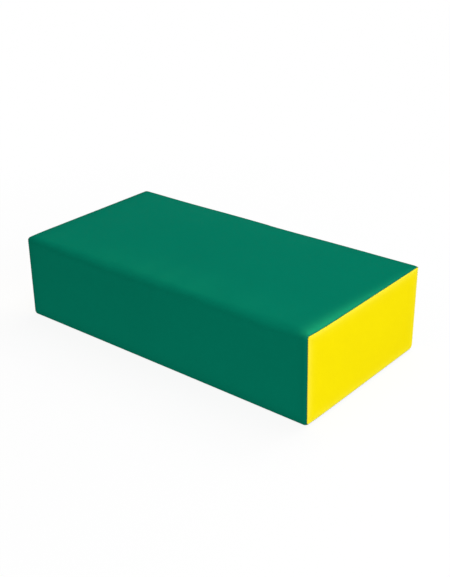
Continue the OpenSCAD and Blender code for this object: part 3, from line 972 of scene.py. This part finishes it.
sewing = {
    "endSeam": {"Pitch": 0.0042, "Length": 0.0036, "Width": 0.0009, "Lean": 0.0},
    "zipRow": {"Pitch": 0.0036, "Length": 0.0031, "Width": 0.0008, "Lean": 0.1},
    "closingRow": {"Pitch": 0.0032, "Length": 0.0028, "Width": 0.0008, "Lean": 0.1},
    "barTack": {"Pitch": 0.00042, "Length": 0.0024, "Width": 0.00055, "Lean": 12.0},
    "threadLift": 0.0003,
    "tackLength": 0.009,
    "tackWidth": 0.0024,
}
stitches = stitchTree()


def pathObject(name, paths, closed=False):
    points = []
    edges = []
    for path in paths:
        first = len(points)
        points += [tuple(p) for p in path]
        edges += [(first + k, first + k + 1) for k in range(len(path) - 1)]
        if closed:
            edges.append((len(points) - 1, first))
    mesh = bpy.data.meshes.new(name)
    mesh.from_pydata(points, edges, [])
    return linkObject(name, mesh)


def sewRow(name, paths, style, across, nodes, closed=False):
    piece = pathObject(name, paths, closed)
    runTree(piece, stitches, {**sewing[style], "Across": across, "Thread": sewingThread})
    finishPiece(piece, sewingThread, "block", "thread", *nodes)
    print(name, len(piece.data.polygons), "faces")


def makeStitches():
    lift = halfWidth + sewing["threadLift"]
    rowEnd = slitX - cover["slitTaper"]
    rowZ = cover["slitHeight"] / 2 + wrapDetail["stitchLine"]
    sunk = cover["seamGroove"] - sewing["endSeam"]["Width"] / 2
    seam = (seamX - sunk * math.sin(seamTurn), seamInset + sunk * math.cos(seamTurn))
    for side, label in ((1, "Right"), (-1, "Left")):
        ring = raisedRing(side * seam[0], seam[1], False)
        node = "end_seam_thread_" + label.lower()
        sewRow("seamStitches" + label, [ring], "endSeam", (0, 0, 0), [node], closed=True)
    for side, label in ((1, "Upper"), (-1, "Lower")):
        path = [(s * rowEnd, lift, zipZ + side * rowZ) for s in (-1, 1)]
        node = "zip_seam_thread_" + label.lower()
        sewRow("zipStitches" + label, [path], "zipRow", (0, 0, 1), [node])
    tackX = slitX + sewing["tackWidth"]
    half = (sewing["tackLength"] - sewing["barTack"]["Width"]) / 2
    closing = [[(s * (tackX + sewing["tackWidth"]), lift, zipZ), (s * rollX, lift, zipZ)] for s in (-1, 1)]
    sewRow("closingStitches", closing, "closingRow", (0, 0, 1), ["closing_seam_threads"])
    tacks = [[(s * tackX, lift, zipZ - half), (s * tackX, lift, zipZ + half)] for s in (-1, 1)]
    sewRow("barTacks", tacks, "barTack", (1, 0, 0), ["zip_bar_tacks"])


makeStitches()

# woven tapes with raised bands along them
tapeForm = {
    "thickness": 0.0006,
    "steps": 160,
    "rows": 24,
    "bandHeight": 0.00006,
    "bandWidth": 0.0013,
    "ripple": 0.00008,
    "rippleWave": (0.0047, 1.3, 0.023),
}


def makeTape(name, node):
    low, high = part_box(node)
    x = np.linspace(low.x, high.x, tapeForm["steps"])[:, None]
    z = np.linspace(high.z, low.z, tapeForm["rows"])[None, :]
    band = tapeForm["bandHeight"] * np.cos(2 * np.pi * (z - zipZ) / tapeForm["bandWidth"])
    ripple = tapeForm["ripple"] * unevenWave(x, *tapeForm["rippleWave"])
    ripple = ripple * np.abs(z - zipZ) / (high.z - low.z)
    half = tapeForm["thickness"] / 2
    outer = np.stack(np.broadcast_arrays(x, tapeY + half + band + ripple, z), axis=2)
    inner = np.stack(np.broadcast_arrays(x, tapeY - half + ripple, z), axis=2)
    faces = sheetFaces(tapeForm["steps"], tapeForm["rows"])
    piece = meshObject(name, np.concatenate([outer.reshape(-1, 3), inner.reshape(-1, 3)]), faces)
    finishPiece(piece, zipTapeWeave, "block", "zip_tape", node)
    print(name, len(piece.data.polygons), "faces")


makeTape("zipTapeUpper", "zip_tape_upper")
makeTape("zipTapeLower", "zip_tape_lower")

# moulded teeth, one shape set along each row
toothForm = {
    "pitch": 0.0032,
    "head": 0.0018,
    "neck": 0.0011,
    "reach": 0.0011,
    "root": 0.0039,
    "thickness": 0.003,
    "chamfer": 0.0003,
}


def makeTooth(side):
    head, neck, reach = toothForm["head"] / 2, toothForm["neck"] / 2, toothForm["reach"]
    thickness = toothForm["thickness"]
    step = head - neck
    half = [
        (head, toothForm["root"]),
        (head, reach + step),
        (neck, reach),
        (neck, 0),
        (head, -step),
        (head, step - reach),
        (neck, -reach),
    ]
    outline = half + [(-x, z) for x, z in reversed(half)]
    shape = bmesh.new()
    corners = [shape.verts.new((x, tapeY - thickness / 2, zipZ + side * z)) for x, z in outline]
    face = shape.faces.new(corners)
    made = bmesh.ops.extrude_face_region(shape, geom=[face])["geom"]
    raised = [g for g in made if isinstance(g, bmesh.types.BMVert)]
    bmesh.ops.translate(shape, vec=(0, thickness, 0), verts=raised)
    rims = [e for e in shape.edges if abs(e.verts[0].co.y - e.verts[1].co.y) < thickness / 2]
    bmesh.ops.bevel(shape, geom=rims, offset=toothForm["chamfer"], segments=1, affect="EDGES",
                    clamp_overlap=True)
    bmesh.ops.recalc_face_normals(shape, faces=shape.faces)
    mesh = bpy.data.meshes.new("toothShape")
    shape.to_mesh(mesh)
    shape.free()
    return linkObject("toothShape", mesh)


def toothTree():
    tree, given = startTree("toothRow", {
        "Start": "Geometry", "Tooth": "Object", "Count": "Int",
        "First": "Vector", "Step": "Vector", "Plastic": "Material",
    })
    line = given.node("GeometryNodeMeshLine", {"mode": "OFFSET"}, {
        "Count": given.other("Count"),
        "Start Location": given.other("First"),
        "Offset": given.other("Step"),
    })
    tooth = given.node("GeometryNodeObjectInfo", {}, {"Object": given.other("Tooth")}, "Geometry")
    row = given.node("GeometryNodeInstanceOnPoints", {}, {"Points": line, "Instance": tooth})
    endTree(row, given.other("Plastic"))
    return tree


def makeTeeth():
    tree = toothTree()
    for side, label in ((1, "Upper"), (-1, "Lower")):
        node = "zip_teeth_" + label.lower()
        low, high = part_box(node)
        pitch = toothForm["pitch"]
        count = round((high.x - low.x - toothForm["head"]) / pitch) + 1
        tooth = makeTooth(side)
        piece = linkObject("zipTeeth" + label, bpy.data.meshes.new("zipTeeth" + label))
        first = (low.x + toothForm["head"] / 2, 0, 0)
        runTree(piece, tree, {"Tooth": tooth, "Count": count, "First": first, "Step": (pitch, 0, 0),
                              "Plastic": zipToothPlastic})
        bpy.data.objects.remove(tooth)
        finishPiece(piece, zipToothPlastic, "block", "zip_plastic", node)
        print("zipTeeth" + label, count, "teeth,", len(piece.data.polygons), "faces")


makeTeeth()


# metal pieces: the solid's own shape with its sharp edges broken, angles in degrees
metalEdges = {"flat": 1, "sharp": 35, "smooth": 50, "steps": 2, "profile": 0.6, "merge": 1e-6}


def makeMetal(name, node, body, edge):
    m = metalEdges
    shape = bmesh.new()
    shape.from_mesh(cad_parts[node].data)
    bmesh.ops.remove_doubles(shape, verts=shape.verts, dist=m["merge"])
    flat = math.radians(m["flat"])
    bmesh.ops.dissolve_limit(shape, angle_limit=flat, verts=shape.verts, edges=shape.edges)
    joined = [e for e in shape.edges if len(e.link_faces) == 2]
    sharp = [e for e in joined if e.calc_face_angle() > math.radians(m["sharp"])]
    bmesh.ops.bevel(shape, geom=sharp, offset=edge, segments=m["steps"], profile=m["profile"],
                    affect="EDGES", clamp_overlap=True)
    mesh = bpy.data.meshes.new(name)
    shape.to_mesh(mesh)
    shape.free()
    piece = linkObject(name, mesh)
    setSmooth(mesh, m["smooth"])
    finishPiece(piece, zipNickel, body, "zip_metal", node)
    print(name, len(mesh.polygons), "faces")


metalPieces = {
    "zipTopStops": {"node": "zip_top_stops", "body": "block", "edge": 0.0004},
    "zipBottomStop": {"node": "zip_bottom_stop", "body": "block", "edge": 0.0004},
    "zipSlider": {"node": "zip_slider", "body": "slider", "edge": 0.0003},
    "zipPullTab": {"node": "zip_pull_tab", "body": "pull_tab", "edge": 0.0002},
}
for metalName, metal in metalPieces.items():
    makeMetal(metalName, metal["node"], metal["body"], metal["edge"])

# camera fitted to the block's edges in the 450 x 577 picture
view = {
    "azimuth": 40.167,
    "elevation": 25.144,
    "roll": -1.067,
    "distance": 1.66,
    "across": -0.01656,
    "up": -0.07152,
    "focalPixels": 967.9,
    "longSide": 577,
    "sensor": 36.0,
}


def makeCamera():
    a, e, r = (math.radians(view[k]) for k in ("azimuth", "elevation", "roll"))
    back = Vector((math.sin(a) * math.cos(e), -math.cos(a) * math.cos(e), math.sin(e)))
    level = Vector((math.cos(a), math.sin(a), 0))
    upright = back.cross(level)
    right = level * math.cos(r) + upright * math.sin(r)
    up = upright * math.cos(r) - level * math.sin(r)
    data = bpy.data.cameras.new("photoCamera")
    data.sensor_width = view["sensor"]
    data.lens = view["focalPixels"] * view["sensor"] / view["longSide"]
    camera = linkObject("photoCamera", data)
    turn = Matrix((right, up, back)).transposed().to_4x4()
    place = back * view["distance"] - right * view["across"] - up * view["up"]
    camera.matrix_world = Matrix.Translation(place) @ turn
    bpy.context.scene.camera = camera


# studio: white floor, soft light from above and from the right
studio = {
    "floorSize": 40.0,
    "floorDrop": 0.0004,
    "floorWhite": 0.9,
    "floorGlow": {"near": 1.0, "far": 0.15},
    "shadowShare": 0.1,
    "shadowReach": 0.55,
    "shadowFade": 0.5,
    "worldLight": 0.44,
    "aim": (0, 0, 0.08),
    "lamps": {
        "overheadBox": {"place": (0.25, 1.6, 3.8), "size": 2.8, "power": 78},
        "sideBox": {"place": (1.8, -0.8, 1.2), "size": 0.9, "power": 15.5},
        "rearBox": {"place": (0.56, 2.4, 2.5), "size": 0.96, "power": 18},
    },
}


def makeLamp(name, lamp):
    data = bpy.data.lights.new(name, "AREA")
    data.size = lamp["size"]
    data.energy = lamp["power"]
    made = linkObject(name, data)
    made.location = lamp["place"]
    aim = Vector(studio["aim"]) - Vector(lamp["place"])
    made.rotation_euler = aim.to_track_quat("-Z", "Y").to_euler()


def backgroundRays(wire):
    seen = wire.node("ShaderNodeLightPath", {}, {}, "Is Camera Ray")
    return (seen + seen.other("Is Glossy Ray") + seen.other("Is Transmission Ray")).clamped()


def makeStudio():
    world = bpy.data.worlds.new("studioWorld")
    bpy.context.scene.world = world
    world.use_nodes = True
    world.node_tree.nodes.clear()
    wire = Wire(world.node_tree)
    strength = backgroundRays(wire) * (1 - studio["worldLight"]) + studio["worldLight"]
    sky = wire.node("ShaderNodeBackground", {}, {"Color": (1, 1, 1, 1), "Strength": strength})
    wire.node("ShaderNodeOutputWorld", {}, {"Surface": sky})
    half = studio["floorSize"] / 2
    square = ((-1, -1), (1, -1), (1, 1), (-1, 1))
    corners = np.array([(x * half, y * half, -studio["floorDrop"]) for x, y in square])
    floor = meshObject("studioFloor", corners, [(0, 1, 2, 3)])
    material, wire = startMaterial("floorPaper")
    place = objectPlace(wire)
    reach = wire.node("ShaderNodeVectorMath", {"operation": "LENGTH"}, {0: place}, "Value")
    far = ((reach - studio["shadowReach"]) * (1 / studio["shadowFade"])).clamped()
    paper = wire.node("ShaderNodeBsdfDiffuse", {}, {"Color": (studio["floorWhite"],) * 3 + (1,)})
    white = wire.node("ShaderNodeEmission", {}, {"Color": (1, 1, 1, 1), "Strength": 1.0})
    bare = 1 - (1 - far) * studio["shadowShare"]
    shown = backgroundRays(wire)
    glow = studio["floorGlow"]["near"] + far * (studio["floorGlow"]["far"] - studio["floorGlow"]["near"])
    share = shown * bare + (1 - shown) * glow
    mixed = wire.node("ShaderNodeMixShader", {}, {0: share, 1: paper, 2: white})
    wire.node("ShaderNodeOutputMaterial", {}, {"Surface": mixed})
    floor.data.materials.append(material)
    for name, lamp in studio["lamps"].items():
        makeLamp(name, lamp)
    bpy.context.scene.view_settings.view_transform = "Standard"


makeCamera()
makeStudio()
print("camera and studio ready")
